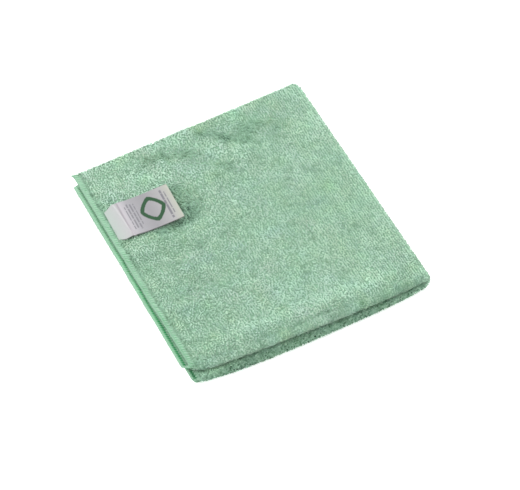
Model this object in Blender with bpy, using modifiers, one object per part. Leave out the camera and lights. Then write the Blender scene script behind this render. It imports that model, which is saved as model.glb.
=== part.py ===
"""A microfibre cleaning cloth, folded twice into quarters, with the care label sewn into its hem.

The cloth is one sheet. Its first fold runs along the front, so that the top two layers are joined
there and so are the bottom two. Its second fold runs along the right side and joins the two pairs.
The left and back sides are open and show the four hemmed edges.

+X points to the right, +Y to the back and +Z up. The cloth lies on z = 0. Sizes are in millimetres.
"""

import math

import bmesh
import bpy

MM = 0.001

# ---------------------------------------------------------------- driving sizes

LAYER_THICKNESS = 2.3  # terry pile on both faces, pressed by folding
LAYER_PITCH = 3.0  # from one layer's middle to the next
BOX_CENTRE_X = -2.0  # the layout below is measured from the middle of the top layer,
BOX_CENTRE_Y = 1.8  # and these bring the middle of the finished box to the origin

FOLD_RIGHT = 94.3  # outermost point of the second fold
FOLD_RADIUS = LAYER_PITCH / 2  # middle of the sheet round the first fold

# One row for each layer, from the top down: how much of the surface relief it shares,
# where its left hem lies, and where its back hem lies at the left and right ends.
LAYER_COLUMNS = ("relief_share", "left_hem_x", "back_hem_left_y", "back_hem_right_y")
LAYERS = {
    "top_outer": (1.00, -95.0, 101.0, 110.0),
    "top_inner": (0.60, -98.2, 94.0, 106.0),
    "bottom_inner": (0.25, -95.5, 97.0, 106.5),
    "bottom_outer": (0.00, -92.5, 99.0, 108.5),
}

# The front fold isn't quite straight, and the top pair lies back from the bottom pair at the left.
FRONT_COLUMNS = ("x", "top_pair_y", "bottom_pair_y")
FRONT_LINE = (
    (-98.0, -88.0, -100.5),
    (-86.0, -95.5, -103.0),
    (-60.0, -98.5, -105.6),
    (-20.0, -99.5, -106.2),
    (20.0, -99.7, -105.2),
    (50.0, -99.9, -103.4),
    (75.0, -99.8, -100.8),
    (94.0, -97.5, -97.5),
)

# Soft ridges (positive) and hollows (negative) in the top surface, each along a straight line.
RELIEF_COLUMNS = ("start_x", "start_y", "end_x", "end_y", "half_width", "height")
RELIEF = {
    "back_ridge": (3.0, 98.0, 30.0, 63.0, 9.0, 1.3),
    "back_hollow": (17.0, 99.0, 42.0, 72.0, 10.0, -0.9),
    "left_hollow": (-62.0, 90.0, 12.0, 62.0, 9.0, -0.7),
    "label_swell": (-78.0, 72.0, -8.0, 46.0, 10.0, 0.6),
    "ripple_back": (-94.0, 12.0, -50.0, 12.0, 8.0, 0.7),
    "ripple_middle": (-94.0, -14.0, -50.0, -15.0, 8.0, 0.6),
    "ripple_front": (-94.0, -47.0, -45.0, -47.0, 9.0, 0.7),
    "front_swell": (-70.0, -82.0, 66.0, -84.0, 9.0, 0.7),
}
RELIEF_FADE = 14.0  # the relief dies away over this length before either fold

# Cells of the sheet along each flat stretch and round each fold.
FLAT_CELLS = 15
SECOND_FOLD_CELLS = 10
FIRST_FOLD_CELLS = 8

LABEL_LENGTH = 50.0
LABEL_WIDTH = 33.0
LABEL_SEAM_WIDTH = 27.0  # the hem stitches draw the label in
LABEL_NECK = 9.0  # length over which it widens
LABEL_THICKNESS = 1.0
LABEL_GAP = 0.35
LABEL_START_X = -89.5
LABEL_MIDDLE_Y = 45.0
LABEL_TURN = math.radians(1.6)
LABEL_FREE_LIFT = 2.2
LABEL_CELLS_LONG = 14
LABEL_CELLS_WIDE = 4

# ---------------------------------------------------------------- sizes that follow

HALF_THICKNESS = LAYER_THICKNESS / 2
OUTER_FOLD_RADIUS = 1.5 * LAYER_PITCH  # from the stack's middle to the middle of its outer layers
STACK_MIDDLE_Z = HALF_THICKNESS + OUTER_FOLD_RADIUS
SECOND_FOLD_CENTRE_X = FOLD_RIGHT - HALF_THICKNESS - OUTER_FOLD_RADIUS


def named(columns, row):
    return dict(zip(columns, row))


def mix(start, end, share):
    return start + (end - start) * share


def smooth(share):
    share = min(max(share, 0.0), 1.0)
    return share * share * (3.0 - 2.0 * share)


def layer_value(column, upper, outer):
    """A layer's value, mixed where the sheet passes from one layer to the next round a fold.

    upper is 1 on the top pair and 0 on the bottom pair; outer is 1 on the outer layer of a pair.
    """
    value = {name: named(LAYER_COLUMNS, row)[column] for name, row in LAYERS.items()}
    top = mix(value["top_inner"], value["top_outer"], outer)
    bottom = mix(value["bottom_inner"], value["bottom_outer"], outer)
    return mix(bottom, top, upper)


def front_line(x, column):
    """Reads the front fold's line as a smooth curve through the stations of its table."""
    rows = [named(FRONT_COLUMNS, row) for row in FRONT_LINE]
    x = min(max(x, rows[0]["x"]), rows[-1]["x"])
    place = next(i for i in range(len(rows) - 1) if x <= rows[i + 1]["x"])
    before, after = rows[place], rows[place + 1]

    def slope(index):
        low, high = rows[max(index - 1, 0)], rows[min(index + 1, len(rows) - 1)]
        return (high[column] - low[column]) / (high["x"] - low["x"])

    width = after["x"] - before["x"]
    share = (x - before["x"]) / width
    left_push = slope(place) * width * share * (1.0 - share) ** 2
    right_push = slope(place + 1) * width * share**2 * (1.0 - share)
    return mix(before[column], after[column], smooth(share)) + left_push - right_push


def relief_at(x, y, front_y):
    """Height of the soft ridges and hollows at a point of the top surface."""
    total = 0.0
    for row in RELIEF.values():
        form = named(RELIEF_COLUMNS, row)
        run_x = form["end_x"] - form["start_x"]
        run_y = form["end_y"] - form["start_y"]
        along = ((x - form["start_x"]) * run_x + (y - form["start_y"]) * run_y) / (run_x**2 + run_y**2)
        along = min(max(along, 0.0), 1.0)
        away = math.hypot(x - form["start_x"] - along * run_x, y - form["start_y"] - along * run_y)
        total += form["height"] * math.exp(-((away / form["half_width"]) ** 2))
    from_second_fold = smooth((SECOND_FOLD_CENTRE_X - x) / RELIEF_FADE)
    from_first_fold = smooth((y - front_y) / RELIEF_FADE)
    return total * from_second_fold * from_first_fold


def hairpin(cells):
    """Stations along a sheet that is folded once: (share of the flat run, angle round the fold).

    The run goes from 0 at a hem to 1 at the fold. The angle goes from 90 to -90 degrees round it.
    """
    flat_out = [(step / FLAT_CELLS, math.pi / 2) for step in range(FLAT_CELLS + 1)]
    turn = [(1.0, math.pi / 2 - math.pi * step / cells) for step in range(1, cells)]
    flat_back = [(1.0 - step / FLAT_CELLS, -math.pi / 2) for step in range(FLAT_CELLS + 1)]
    return flat_out + turn + flat_back


def folded_point(across, along):
    """Place of a point of the sheet's middle surface.

    across is its station from hem to hem over the second fold, along is its station over the first.
    """
    across_run, across_angle = across
    along_run, along_angle = along
    outward = FOLD_RADIUS * math.sin(along_angle)  # from the middle of its pair of layers
    outer = (1.0 + math.sin(along_angle)) / 2
    upper = (1.0 + math.sin(across_angle)) / 2
    radius = LAYER_PITCH + outward

    left = layer_value("left_hem_x", upper, outer)
    x = mix(left, SECOND_FOLD_CENTRE_X, across_run) + radius * math.cos(across_angle)
    z = STACK_MIDDLE_Z + radius * math.sin(across_angle)

    front = mix(front_line(x, "bottom_pair_y"), front_line(x, "top_pair_y"), upper)
    fold_centre_y = front + HALF_THICKNESS + FOLD_RADIUS
    back_left = layer_value("back_hem_left_y", upper, outer)
    back_right = layer_value("back_hem_right_y", upper, outer)
    back = mix(back_left, back_right, (x - left) / (FOLD_RIGHT - left))
    y = mix(back, fold_centre_y, along_run) - FOLD_RADIUS * math.cos(along_angle)

    z += layer_value("relief_share", upper, outer) * relief_at(x, y, front)
    return (x - BOX_CENTRE_X) * MM, (y - BOX_CENTRE_Y) * MM, z * MM


# ---------------------------------------------------------------- making the pieces


def clear_scene():
    for obj in list(bpy.data.objects):
        bpy.data.objects.remove(obj, do_unlink=True)


def material(name, colour, roughness, metallic):
    made = bpy.data.materials.new(name)
    made.use_nodes = True
    shader = made.node_tree.nodes["Principled BSDF"]
    shader.inputs["Base Color"].default_value = (*colour, 1.0)
    shader.inputs["Roughness"].default_value = roughness
    shader.inputs["Metallic"].default_value = metallic
    return made


def sheet(name, cells_x, cells_y, place, thickness, finish, collection):
    """A grid primitive whose points are moved by place(column, row), thickened with Solidify."""
    mesh = bpy.data.meshes.new(name)
    form = bmesh.new()
    bmesh.ops.create_grid(form, x_segments=cells_x, y_segments=cells_y, size=0.5)
    for vertex in form.verts:
        column = round((vertex.co.x + 0.5) * cells_x)
        row = round((vertex.co.y + 0.5) * cells_y)
        vertex.co = place(column, row)
    form.to_mesh(mesh)
    form.free()
    mesh.shade_smooth()
    mesh.materials.append(finish)
    piece = bpy.data.objects.new(name, mesh)
    collection.objects.link(piece)
    solid = piece.modifiers.new("Thickness", "SOLIDIFY")
    solid.thickness = thickness * MM
    solid.offset = 0.0
    solid.use_even_offset = True
    return piece


def make_cloth(collection):
    across = hairpin(SECOND_FOLD_CELLS)
    along = hairpin(FIRST_FOLD_CELLS)
    finish = material("green_terry_microfibre", (0.35, 0.53, 0.39), 0.9, 0.0)

    def place(column, row):
        return folded_point(across[column], along[row])

    return sheet("cloth", len(across) - 1, len(along) - 1, place, LAYER_THICKNESS, finish, collection)


def make_label(collection):
    """A woven strip that leaves the left hem and lies over the top layer, its free end lifted."""
    finish = material("white_satin_ribbon", (0.56, 0.55, 0.55), 0.5, 0.0)
    cloth_top = STACK_MIDDLE_Z + OUTER_FOLD_RADIUS + HALF_THICKNESS
    half_label = LABEL_THICKNESS / 2

    def place(column, row):
        share = column / LABEL_CELLS_LONG
        distance = share * LABEL_LENGTH
        width = mix(LABEL_SEAM_WIDTH, LABEL_WIDTH, smooth(distance / LABEL_NECK))
        sideways = (row / LABEL_CELLS_WIDE - 0.5) * width
        x = LABEL_START_X + distance * math.cos(LABEL_TURN) - sideways * math.sin(LABEL_TURN)
        y = LABEL_MIDDLE_Y + distance * math.sin(LABEL_TURN) + sideways * math.cos(LABEL_TURN)
        under = relief_at(x, y, front_line(x, "top_pair_y"))
        z = cloth_top + under + LABEL_GAP + half_label + LABEL_FREE_LIFT * share**2
        return (x - BOX_CENTRE_X) * MM, (y - BOX_CENTRE_Y) * MM, z * MM

    return sheet("label", LABEL_CELLS_LONG, LABEL_CELLS_WIDE, place, LABEL_THICKNESS, finish, collection)


clear_scene()
cloth_parts = bpy.data.collections.new("folded_microfibre_cloth")
bpy.context.scene.collection.children.link(cloth_parts)
make_cloth(cloth_parts)
make_label(cloth_parts)
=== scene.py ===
# %% [markdown]
# # A terry cleaning cloth, folded into quarters
#
# The cloth is warp-knitted microfibre with loops on both faces. It was cut nearly square, overlocked
# all round with a fluffy thread, and a ribbon label was caught in the overlock. It is folded twice,
# so that four layers lie on each other.
#
# Everything on the cloth was made while it lay flat: the rows of loops, the stitches and the label.
# So this lesson also works in flat cloth coordinates, in millimetres: u across the cloth and v along
# it. One function folds a flat place into the air, and each step below asks it where its loops or
# its stitches have gone.

import bpy
import numpy as np
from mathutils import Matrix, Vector


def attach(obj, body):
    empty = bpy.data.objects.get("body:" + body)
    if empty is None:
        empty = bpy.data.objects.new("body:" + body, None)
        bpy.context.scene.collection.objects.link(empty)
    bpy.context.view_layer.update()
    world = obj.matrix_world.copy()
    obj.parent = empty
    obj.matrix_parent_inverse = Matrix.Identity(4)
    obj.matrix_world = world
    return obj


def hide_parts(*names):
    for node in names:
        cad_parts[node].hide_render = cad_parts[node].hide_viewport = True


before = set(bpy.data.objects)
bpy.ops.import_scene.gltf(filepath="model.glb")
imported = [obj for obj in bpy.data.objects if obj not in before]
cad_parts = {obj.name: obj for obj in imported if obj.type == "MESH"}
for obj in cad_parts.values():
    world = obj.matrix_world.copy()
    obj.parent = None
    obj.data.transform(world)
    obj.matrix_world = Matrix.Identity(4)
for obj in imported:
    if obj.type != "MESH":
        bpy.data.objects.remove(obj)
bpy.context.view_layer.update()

MM = 0.001
print("nodes:", sorted(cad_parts))

# %% [markdown]
# ## How thick the stack is
#
# A folded cloth is a stack of layers with half circles at its folds. The first fold was made along
# the front edge and the second along the right edge, so the second one bends two layers at once and
# is rounder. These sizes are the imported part's own, so the looks land on its solid.

# %% Thickness and fold radii
LAYER_THICKNESS = 2.3
LAYER_PITCH = 3.0
FOLD_RIGHT = 94.3
# The layout is drawn from the top layer's middle. This brings the part's middle to the origin.
BOX_CENTRE = np.array([-2.0, 1.8, 0.0])
HALF_THICKNESS = LAYER_THICKNESS / 2
FIRST_RADIUS = LAYER_PITCH / 2
OUTER_FOLD_RADIUS = 1.5 * LAYER_PITCH
STACK_MIDDLE_Z = HALF_THICKNESS + OUTER_FOLD_RADIUS
SECOND_FOLD_CENTRE_X = FOLD_RIGHT - HALF_THICKNESS - OUTER_FOLD_RADIUS
print(f"four layers, middle of the stack {STACK_MIDDLE_Z:.2f} mm up")

# %% [markdown]
# ## Where the hems end
#
# Nobody folds a cloth exactly edge on edge. Each layer's left and back hem ends a few millimetres
# from the next one's, and the front folds bow a little. A few measured places are enough, with a
# smooth curve led through them.

# %% Hem ends and front folds
# The columns of each layer's row: how much of the relief it shares, and where its hems end.
RELIEF_SHARE, LEFT_HEM, BACK_AT_LEFT, BACK_AT_RIGHT = range(4)
TOP_OUTER = np.array([1.00, -95.0, 107.2, 117.0])
TOP_INNER = np.array([0.60, -98.2, 94.0, 106.0])
BOTTOM_INNER = np.array([0.25, -95.5, 97.0, 106.5])
BOTTOM_OUTER = np.array([0.00, -92.5, 99.0, 108.5])

# Each row: place across, front fold of the top pair, front fold of the bottom pair.
FRONT_AT, TOP_FRONT, BOTTOM_FRONT = np.array([
    (-98.0, -89.5, -100.5),
    (-86.0, -96.5, -102.6),
    (-60.0, -98.8, -104.6),
    (-20.0, -99.5, -104.8),
    (20.0, -99.7, -103.7),
    (50.0, -99.4, -102.4),
    (75.0, -98.3, -100.3),
    (94.0, -96.0, -97.0),
]).T

# Toward the front the top hem draws back from the one below it, and the gap between them opens.
HEM_DRAW = 1.2
HEM_DRAW_FROM = 0.62

# The top layer's back hem rolls down behind the stack, so that its band isn't seen from above.
# Stations across the cloth, with how far in from the edge the roll starts, and its angle there.
ROLL_AT = np.array([-2.0, 2.0, 7.0, 60.0, 174.0, 183.0, 190.0, 198.0])
ROLL_START = np.array([6.5, 7.0, 7.5, 7.5, 7.5, 7.0, 6.0, 6.0])
ROLL_ANGLE = np.array([0.5, 0.95, 1.3, 1.35, 1.35, 1.15, 0.7, 0.0])
ROLL_RADIUS = 2.6
print(f"back hem rolls down by up to {np.degrees(ROLL_ANGLE.max()):.0f} degrees")

# %% [markdown]
# ## The flat cloth
#
# Measured along its own surface the cloth is a run, a fold and a run back, each way.

# %% Lengths along the surface
RUN_ACROSS = 184.0
TURN_ACROSS = np.pi * LAYER_PITCH
WIDTH = 2 * RUN_ACROSS + TURN_ACROSS
RUN_ALONG = 198.0
TURN_ALONG = np.pi * FIRST_RADIUS
LENGTH = 2 * RUN_ALONG + TURN_ALONG
print(f"flat cloth {WIDTH:.0f} x {LENGTH:.0f} mm")

# %% [markdown]
# ## Soft lines and soft strokes
#
# Cloth has no hard edges, so four small helpers are enough for its shapes: a blend, a soft step, a
# smooth curve through a few stations, and soft strokes. A stroke is a round brush drawn from one
# place to another. It serves for a ridge that stands up and later for light and shade painted on
# the pile.

# %% Blends, curves and strokes


def mix(start, end, share):
    """From start at a share of 0 to end at 1."""
    return start + (end - start) * share


def smooth(share):
    share = np.clip(share, 0.0, 1.0)
    return share * share * (3.0 - 2.0 * share)


def through(stations, values, x):
    """A smooth curve through the values that stand at the stations, read at x."""
    before = np.maximum(np.arange(len(values)) - 1, 0)
    after = np.minimum(np.arange(len(values)) + 1, len(values) - 1)
    slopes = (values[after] - values[before]) / (stations[after] - stations[before])
    x = np.clip(x, stations[0], stations[-1])
    i = np.clip(np.searchsorted(stations, x) - 1, 0, len(stations) - 2)
    width = stations[i + 1] - stations[i]
    share = (x - stations[i]) / width
    left_push = slopes[i] * width * share * (1.0 - share) ** 2
    right_push = slopes[i + 1] * width * share**2 * (1.0 - share)
    return mix(values[i], values[i + 1], smooth(share)) + left_push - right_push


def soft_strokes(strokes, x, y):
    """The sum of soft strokes: each has a start, an end, a half width and a strength."""
    total = np.zeros_like(x)
    for start, end, half_width, strength in strokes.values():
        run = np.subtract(end, start)
        along = ((x - start[0]) * run[0] + (y - start[1]) * run[1]) / (run @ run)
        along = np.clip(along, 0.0, 1.0)
        away = np.hypot(x - start[0] - along * run[0], y - start[1] - along * run[1])
        total += strength * np.exp(-((away / half_width) ** 2))
    return total


# %% [markdown]
# ## Ridges left from folding and handling
#
# The top layer is not flat. Soft ridges run in from the back and the left edge, and the front edge
# swells where the fold springs back. A cloth simulation could make ridges like these, but not at
# the places where this cloth has them. Strokes put them there, and they fade out at the folds so
# that the half circles stay round.

# %% Ridges and hollows
# Each row: start, end, half width and height of a soft ridge, or of a hollow where it is negative.
RELIEF = {
    "back_ridge": ((-4, 99), (29, 62), 6.5, 2.3),
    "back_hollow": ((14, 96), (34, 80), 8.0, -1.2),
    "middle_ridge": ((-42, 86), (0, 53), 8.0, 1.6),
    "label_swell": ((-78, 72), (-50, 66), 9.0, 0.9),
    "ripple_back": ((-94, 13), (-40, 12), 8.0, 1.5),
    "ripple_middle": ((-94, -14), (-50, -15), 8.0, 0.9),
    "ripple_front": ((-94, -47), (-45, -47), 9.0, 1.3),
    "front_swell": ((-72, -86), (70, -88), 9.0, 1.3),
}
RELIEF_FADE = 14.0


def relief_at(x, y, front):
    """Height of the soft ridges and hollows over a place of the top layer."""
    from_second_fold = smooth((SECOND_FOLD_CENTRE_X - x) / RELIEF_FADE)
    from_first_fold = smooth((y - front) / RELIEF_FADE)
    return soft_strokes(RELIEF, x, y) * from_second_fold * from_first_fold


highest = max(height for _, _, _, height in RELIEF.values())
print(f"{len(RELIEF)} ridges and hollows, up to {highest} mm high")

# %% [markdown]
# ## Folding a flat place
#
# This is the heart of the lesson. Going along the sheet, a flat place first finds how far it is
# round each fold, as an angle from one flat run to the other. The sine of an angle blends the layer
# on one side of that fold into the layer on the other, so the layers can differ and the folds still
# join them without a step. The back hem's roll comes last.

# %% Lead a flat place round both folds


def station(distance, run, turn):
    """Splits a distance over a folded strip into the share of its flat run and the fold's angle."""
    share = np.where(distance < run + turn / 2, distance / run, (2 * run + turn - distance) / run)
    angle = np.pi / 2 - np.pi * np.clip((distance - run) / turn, 0.0, 1.0)
    return np.minimum(share, 1.0), angle


def layer_value(column, upper, outer):
    """One column of the layer rows, blended for a place that may be part way round a fold."""
    top = mix(TOP_INNER[column], TOP_OUTER[column], outer)
    bottom = mix(BOTTOM_INNER[column], BOTTOM_OUTER[column], outer)
    return mix(bottom, top, upper)


def rolled_hem(u, v):
    """How far the top layer's back hem has moved forward and inward from lying flat."""
    bent = np.maximum(through(ROLL_AT, ROLL_START, u) - v, 0.0)
    angle = np.minimum(bent / ROLL_RADIUS, through(ROLL_AT, ROLL_ANGLE, u))
    straight = bent - angle * ROLL_RADIUS
    ahead = ROLL_RADIUS * np.sin(angle) + straight * np.cos(angle)
    inward = ROLL_RADIUS * (1.0 - np.cos(angle)) + straight * np.sin(angle)
    return ahead - bent, inward


def folded(u, v):
    """Where the middle of the sheet is, in mm, for flat places u across and v along the cloth."""
    across_run, across_angle = station(u, RUN_ACROSS, TURN_ACROSS)
    along_run, along_angle = station(v, RUN_ALONG, TURN_ALONG)
    outward = FIRST_RADIUS * np.sin(along_angle)
    outer = (1.0 + np.sin(along_angle)) / 2
    upper = (1.0 + np.sin(across_angle)) / 2
    radius = LAYER_PITCH + outward
    drawn = smooth((along_run - HEM_DRAW_FROM) / (1.0 - HEM_DRAW_FROM))
    left = layer_value(LEFT_HEM, upper, outer) + HEM_DRAW * drawn * upper * outer**2
    x = mix(left, SECOND_FOLD_CENTRE_X, across_run) + radius * np.cos(across_angle)
    z = STACK_MIDDLE_Z + radius * np.sin(across_angle)
    front = mix(through(FRONT_AT, BOTTOM_FRONT, x), through(FRONT_AT, TOP_FRONT, x), upper)
    centre = front + HALF_THICKNESS + FIRST_RADIUS
    across_share = (x - left) / (FOLD_RIGHT - left)
    back = mix(layer_value(BACK_AT_LEFT, upper, outer), layer_value(BACK_AT_RIGHT, upper, outer),
               across_share)
    y = mix(back, centre, along_run) - FIRST_RADIUS * np.cos(along_angle)
    z = z + layer_value(RELIEF_SHARE, upper, outer) * relief_at(x, y, front)
    back_move, inward = rolled_hem(u, v)
    x = x - inward * np.cos(across_angle)
    y = y + back_move
    z = z - inward * np.sin(across_angle)
    return np.stack([x, y, z], axis=-1) - BOX_CENTRE


corners = folded(np.array([0.0, WIDTH, 0.0, WIDTH]), np.array([0.0, 0.0, LENGTH, LENGTH]))
print("the cloth's four corners lie at", corners.round(1).tolist())

# %% [markdown]
# ## Which way the cloth faces
#
# Loops and stitches stand on the cloth, so they also need its directions. Folding two flat places
# close to each other and joining them gives the direction across the cloth, and again along it. The
# direction out of its face is square to both.

# %% Directions on the folded sheet
PROBE_STEP = 0.05


def unit(vectors):
    """The same directions with a length of 1."""
    return vectors / np.linalg.norm(vectors, axis=-1, keepdims=True)


def on_sheet(u, v):
    """The folded place of flat places, with the directions across, along and out of the cloth."""
    across = unit(folded(u + PROBE_STEP, v) - folded(u - PROBE_STEP, v))
    along = unit(folded(u, v + PROBE_STEP) - folded(u, v - PROBE_STEP))
    return folded(u, v), across, along, unit(np.cross(along, across))


_, _, _, out_of_middle = on_sheet(np.array([RUN_ACROSS / 2]), np.array([RUN_ALONG / 2]))
print("the top layer's middle faces", out_of_middle[0].round(2).tolist())

# %% [markdown]
# ## Turning arrays into meshes
#
# Thirty thousand loops can't be placed by hand, or made one object each. Here a mesh is a numpy
# array of points in millimetres and one of faces, and Blender gets it in a single call. Numbers that
# belong to the points, such as a chance tone, go along as attributes, so that a material can read
# them with an Attribute node.

# %% A mesh from arrays


def put(name, data):
    """A new object that holds this data, in the scene."""
    thing = bpy.data.objects.new(name, data)
    bpy.context.scene.collection.objects.link(thing)
    return thing


def make_mesh(name, points_mm, faces, material, values=None):
    mesh = bpy.data.meshes.new(name)
    mesh.from_pydata((np.asarray(points_mm) * MM).tolist(), [], np.asarray(faces).tolist())
    for label, data in (values or {}).items():
        data = np.asarray(data, dtype=np.float32)
        kind = "FLOAT" if data.ndim == 1 else "FLOAT_VECTOR"
        layer = mesh.attributes.new(label, kind, "POINT")
        layer.data.foreach_set("value" if kind == "FLOAT" else "vector", data.ravel())
    mesh.shade_smooth()
    mesh.materials.append(material)
    print(f"{name}: {len(points_mm)} points, {len(faces)} faces")
    return put(name, mesh)


# The corners of a face in turned order, for a grid whose outside is its other side.
TURNED = [0, 3, 2, 1]


def grid_faces(columns, rows, joined=(0, 0)):
    """The faces of a grid of points, stored by column. joined has a 1 where its ends meet."""
    point = np.arange(columns * rows).reshape(columns, rows)
    point = np.pad(point, ((0, joined[0]), (0, joined[1])), mode="wrap")
    corners = [point[:-1, :-1], point[:-1, 1:], point[1:, 1:], point[1:, :-1]]
    return np.stack(corners, axis=-1).reshape(-1, 4)


# %% [markdown]
# ## Tools for the materials
#
# Every material here is a Principled shader with a few nodes before it. Colours are written as the
# hex values that a colour card gives, and one function turns them into the linear values that a
# shader takes. One function adds a node, with its settings and its links.

# %% Colours and nodes


def linear(hex_colour):
    """sRGB hex to the linear colour that a shader takes."""
    parts = [int(hex_colour[i:i + 2], 16) / 255 for i in (1, 3, 5)]
    return (*[c / 12.92 if c <= 0.04045 else ((c + 0.055) / 1.055) ** 2.4 for c in parts], 1.0)


def new_material(name):
    material = bpy.data.materials.new(name)
    material.use_nodes = True
    return material, material.node_tree.nodes["Principled BSDF"]


def set_values(node, values):
    """Gives a node's sockets the values that they have all over the surface."""
    for socket, value in values.items():
        node.inputs[socket].default_value = value


def feed(socket, source):
    socket.id_data.links.new(source, socket)


def add(shader, kind, settings=None, links=None):
    """Adds a node to a shader's tree. settings are fields or sockets' values, links feed sockets."""
    node = shader.id_data.nodes.new(kind)
    for key, value in (settings or {}).items():
        if isinstance(key, str) and hasattr(node, key):
            setattr(node, key, value)
        else:
            set_values(node, {key: value})
    for key, source in (links or {}).items():
        feed(node.inputs[key], source)
    return node


def per_mm(size_mm):
    """The scale of a texture that reads places in metres, for a pattern of this size."""
    return 1.0 / (size_mm * MM)


# %% [markdown]
# ## Dyed polyester
#
# Pile and thread were dyed in one bath, but they don't look one colour. So each loop and each
# thread carries three numbers: tone, how light it is, depth, how strong its colour is, and hue, how
# far it leans to yellow or blue. Besides chance differences, tone carries painted light and shade,
# and depth carries the deeper colour that is painted where the shade is. One node turns the dye's
# colour by all three.

# %% Read tone, depth and hue
POLYESTER_IOR = 1.57
CARRIED = {"Value": "tone", "Saturation": "depth", "Hue": "hue"}
# The node leaves a colour's hue alone at this value.
EVEN_HUE = 0.5


def dye(shader, colours, links=None):
    """Feeds a colour to the shader, made lighter, deeper or warmer by what each point carries."""
    links = dict(links or {})
    for socket, attribute in CARRIED.items():
        number = add(shader, "ShaderNodeAttribute", {"attribute_name": attribute})
        links[socket] = number.outputs["Fac"]
    dyed = add(shader, "ShaderNodeHueSaturation", colours, links)
    feed(shader.inputs["Base Color"], dyed.outputs["Color"])


def fuzz(shader, size_mm, strength, lift_mm):
    """A fine uneven bump for split fibre, as noise of this size on the surface."""
    place = add(shader, "ShaderNodeTexCoord")
    noise = add(shader, "ShaderNodeTexNoise", {"Scale": per_mm(size_mm), "Detail": 2.0},
                {"Vector": place.outputs["Object"]})
    bump = add(shader, "ShaderNodeBump", {"Strength": strength, "Distance": lift_mm * MM},
               {"Height": noise.outputs["Fac"]})
    feed(shader.inputs["Normal"], bump.outputs["Normal"])


# %% [markdown]
# ## Terry pile
#
# Common name: microfibre terry, which is polyester and polyamide spun together, split finer than
# silk and knitted into loops. It scatters light like velvet: no gloss, and deeper colour at the
# roots of the loops than at their tips, partly from the dye and partly as painted shade between the
# loops. A fibre is about 0.01 mm thick, far too fine to show, so its fuzz is drawn at 0.6 mm, and a
# little sheen stands in for the light that the fibre ends catch.

# %% Terry pile material
PILE_TIP = "#a0bea9"
PILE_MIDDLE = "#9dbba7"
# The root's darker colour is partly painted shade between the loops.
PILE_ROOT = "#92ae9a"
LOOP_SHOULDER = 0.55
PILE_FUZZ = 0.6

pile_material, pile_shader = new_material("green_microfibre_terry")
height = add(pile_shader, "ShaderNodeAttribute", {"attribute_name": "pile_height"})
ramp = add(pile_shader, "ShaderNodeValToRGB", None, {"Fac": height.outputs["Fac"]})
ramp.color_ramp.elements[0].color = linear(PILE_ROOT)
ramp.color_ramp.elements[1].color = linear(PILE_TIP)
ramp.color_ramp.elements.new(LOOP_SHOULDER).color = linear(PILE_MIDDLE)
dye(pile_shader, None, {"Color": ramp.outputs["Color"]})
fuzz(pile_shader, PILE_FUZZ, strength=0.25, lift_mm=0.06)
set_values(pile_shader, {
    "IOR": POLYESTER_IOR,
    "Roughness": 0.95,
    "Specular IOR Level": 0.2,
    "Sheen Weight": 0.05,
    "Sheen Roughness": 0.5,
    "Sheen Tint": linear("#d0eed9"),
})
print("terry pile, from root", PILE_ROOT, "to tip", PILE_TIP)

# %% [markdown]
# ## Knitted ground
#
# Common name: warp-knit polyester. It is the thin sheet that the loops are anchored in, and shows
# only as a deep colour between them; its colours are set darker than the pile's, partly as painted
# shade in the gaps between the loops. Its rows of stitches are about 1.1 mm apart, which gives the
# eye a faint cord. A Wave texture follows the rows on the flat cloth, so the cord bends with it.

# %% Knitted ground material
KNIT_ROW = 1.1
# A Wave texture of scale 1 goes through this many radians in each unit.
WAVE_RADIANS = 20.0
GROUND_DEEP = "#7ea189"
GROUND_LIGHT = "#8aaf95"

ground_material, ground_shader = new_material("green_warp_knit")
flat_place = add(ground_shader, "ShaderNodeAttribute", {"attribute_name": "flat_place"})
rows = add(ground_shader, "ShaderNodeTexWave",
           {"Scale": 2 * np.pi / (WAVE_RADIANS * KNIT_ROW), "Distortion": 1.0},
           {"Vector": flat_place.outputs["Vector"]})
knit = add(ground_shader, "ShaderNodeValToRGB", None, {"Fac": rows.outputs["Fac"]})
knit.color_ramp.elements[0].color = linear(GROUND_DEEP)
knit.color_ramp.elements[1].color = linear(GROUND_LIGHT)
feed(ground_shader.inputs["Base Color"], knit.outputs["Color"])
cord = add(ground_shader, "ShaderNodeBump", {"Strength": 0.4, "Distance": 0.15 * MM},
           {"Height": rows.outputs["Fac"]})
feed(ground_shader.inputs["Normal"], cord.outputs["Normal"])
set_values(ground_shader, {"IOR": POLYESTER_IOR, "Roughness": 0.95, "Specular IOR Level": 0.2})
print(f"knitted ground, a row of stitches every {KNIT_ROW} mm")

# %% [markdown]
# ## Overlock thread
#
# Common name: bulked polyester thread, crimped so that it fills the seam. It is smoother than the
# pile and a lighter mint, with a soft silky shine across the band. Its crimp is about 0.5 mm, close
# to what a render can still show, so it is kept at its real size. Between the threads the wrapped
# edge of the knit shows, deeper in colour and quite matt.

# %% Overlock thread and wrapped edge materials
THREAD_CRIMP = 0.5

thread_material, thread_shader = new_material("mint_bulked_thread")
dye(thread_shader, {"Color": linear("#9cc6a9")})
fuzz(thread_shader, THREAD_CRIMP, strength=0.3, lift_mm=0.05)
set_values(thread_shader, {
    "IOR": POLYESTER_IOR,
    "Roughness": 0.75,
    "Sheen Weight": 0.2,
    "Sheen Roughness": 0.4,
})

edge_material, edge_shader = new_material("green_knit_edge")
dye(edge_shader, {"Color": linear("#6fae82")})
fuzz(edge_shader, PILE_FUZZ, strength=0.3, lift_mm=0.08)
set_values(edge_shader, {"IOR": POLYESTER_IOR, "Roughness": 0.9})
print("overlock thread and the edge under it")

# %% [markdown]
# ## Loose fibres
#
# Common name: split microfibre. Single ends stand off the folds and hems, and the light passes
# partly through them, so they look paler than the pile. Bundles of them differ a little from each
# other, which a slow noise gives.

# %% Loose fibre material
FIBRE_BUNDLE = 3.0

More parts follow.
